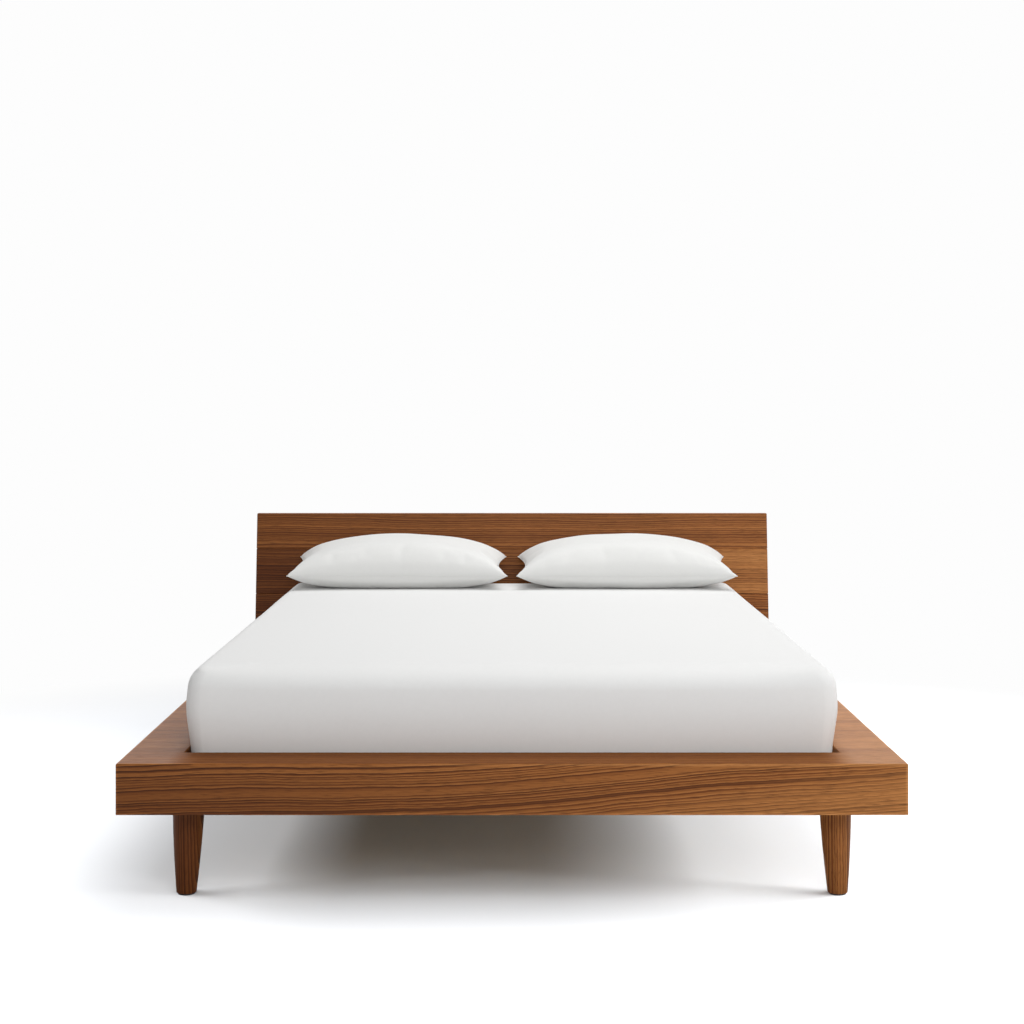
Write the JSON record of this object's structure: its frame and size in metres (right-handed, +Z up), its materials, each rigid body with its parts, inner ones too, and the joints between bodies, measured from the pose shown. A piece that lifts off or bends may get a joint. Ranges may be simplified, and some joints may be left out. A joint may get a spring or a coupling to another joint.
{
  "type": "wooden bed frame",
  "caption": "Low wooden platform bed with wide ledges, turned splayed legs and a raked plank headboard, with a queen mattress and pillows that lift off.",
  "frame": {"origin": "on the floor under the centre of the whole bed, headboard included", "axes": "+X to the bed's right seen from its foot end, +Y from the foot end towards the headboard, +Z up"},
  "size_m": [1.8, 2.3054, 0.761],
  "materials": {
    "walnut": "satin",
    "pine": "matte",
    "steel": "satin",
    "nylon": "matte",
    "mattress_cover": "matte",
    "pillowcase": "matte"
  },
  "bodies": {
    "bed_frame": {"center_beam": "pine", "front_beam_hanger": "steel", "front_center_leg": "pine", "front_inner_rail": "pine", "front_ledge": "walnut", "front_left_corner_block": "pine", "front_left_leg": "walnut", "front_left_leg_bolt": "steel", "front_left_leg_glide": "nylon", "front_left_leg_plate": "steel", "front_rail": "walnut", "front_right_corner_block": "pine", "front_right_leg": "walnut", "front_right_leg_bolt": "steel", "front_right_leg_glide": "nylon", "front_right_leg_plate": "steel", "headboard_board_1": "walnut", "headboard_board_2": "walnut", "headboard_board_3": "walnut", "left_headboard_post": "walnut", "left_inner_rail": "pine", "left_ledge": "walnut", "left_ledger": "pine", "left_rail": "walnut", "rear_beam_hanger": "steel", "rear_center_leg": "pine", "rear_ledge": "walnut", "rear_left_corner_block": "pine", "rear_left_leg": "walnut", "rear_left_leg_bolt": "steel", "rear_left_leg_glide": "nylon", "rear_left_leg_plate": "steel", "rear_rail": "walnut", "rear_right_corner_block": "pine", "rear_right_leg": "walnut", "rear_right_leg_bolt": "steel", "rear_right_leg_glide": "nylon", "rear_right_leg_plate": "steel", "right_headboard_post": "walnut", "right_inner_rail": "pine", "right_ledge": "walnut", "right_ledger": "pine", "right_rail": "walnut", "slat_01": "pine", "slat_02": "pine", "slat_03": "pine", "slat_04": "pine", "slat_05": "pine", "slat_06": "pine", "slat_07": "pine", "slat_08": "pine", "slat_09": "pine", "slat_10": "pine", "slat_11": "pine", "slat_12": "pine"},
    "front_levelling_foot": {"front_levelling_foot": "nylon"},
    "rear_levelling_foot": {"rear_levelling_foot": "nylon"},
    "mattress": {"mattress": "mattress_cover"},
    "left_pillow": {"left_pillow": "pillowcase"},
    "right_pillow": {"right_pillow": "pillowcase"}
  },
  "joints": [
    {"name": "mattress_lift", "type": "slide", "parent": "bed_frame", "child": "mattress", "axis": [0, 0, 1], "range_m": [0, 0.35]},
    {"name": "left_pillow_lift", "type": "slide", "parent": "mattress", "child": "left_pillow", "axis": [0, 0, 1], "range_m": [0, 0.25]},
    {"name": "right_pillow_lift", "type": "slide", "parent": "mattress", "child": "right_pillow", "axis": [0, 0, 1], "range_m": [0, 0.25]},
    {"name": "front_foot_screw", "type": "slide", "parent": "bed_frame", "child": "front_levelling_foot", "axis": [0, 0, -1], "range_m": [0, 0.012]},
    {"name": "rear_foot_screw", "type": "slide", "parent": "bed_frame", "child": "rear_levelling_foot", "axis": [0, 0, -1], "range_m": [0, 0.012]}
  ]
}
